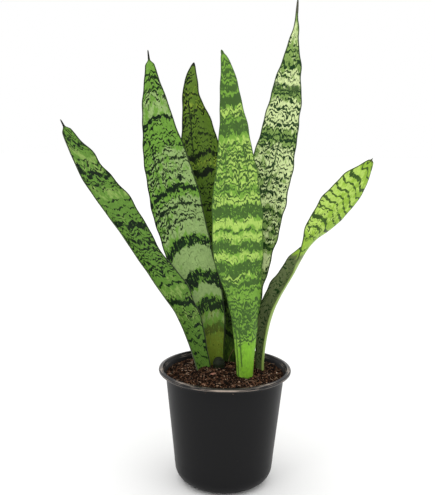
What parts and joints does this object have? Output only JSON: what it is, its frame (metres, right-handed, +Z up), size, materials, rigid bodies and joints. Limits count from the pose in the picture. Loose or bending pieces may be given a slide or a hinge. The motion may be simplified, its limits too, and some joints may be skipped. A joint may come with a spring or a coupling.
{
  "type": "potted snake plant",
  "caption": "Upright snake plant with banded sword-shaped leaves, rooted in potting mix in a round tapered nursery pot with a rolled rim.",
  "frame": {"origin": "centre of the pot's flat underside, on the surface that the pot stands on", "axes": "+Z up, along the pot's axis; -Y is the front, from which the widest faces of the leaves show; +X is to the right of that view"},
  "size_m": [0.336, 0.15, 0.5451],
  "materials": {
    "pot_plastic": "black moulded nursery-pot plastic with a soft satin sheen",
    "potting_mix": "moist dark brown peat and bark, coarse and matt",
    "rhizome": "pale orange-brown smooth rhizome skin",
    "leaf_green": "satin leaf skin, mid green with dark green wavy cross bands and a dark margin",
    "leaf_shaded": "satin leaf skin, grey-green with narrow dark cross bands",
    "leaf_pale": "satin leaf skin, pale green with fine dark mottling in bands",
    "leaf_yellow_green": "satin leaf skin, yellow-green with a few thin dark wavy bands",
    "old_leaf": "very dark green, dull, weathered",
    "bark": "reddish-brown dry bark, rough"
  },
  "bodies": {
    "root": {"grow_pot": "pot_plastic", "potting_mix": "potting_mix", "rhizome": "rhizome", "leaf_far_left": "leaf_shaded", "leaf_left_tall": "leaf_green", "leaf_back": "leaf_shaded", "leaf_front": "leaf_green", "leaf_right_tall": "leaf_pale", "leaf_right_twisted": "leaf_yellow_green", "old_leaf_stub": "old_leaf", "bark_chip_1": "bark", "bark_chip_2": "bark", "bark_chip_3": "bark", "bark_chip_4": "bark", "bark_chip_5": "bark", "bark_chip_6": "bark"}
  },
  "joints": []
}
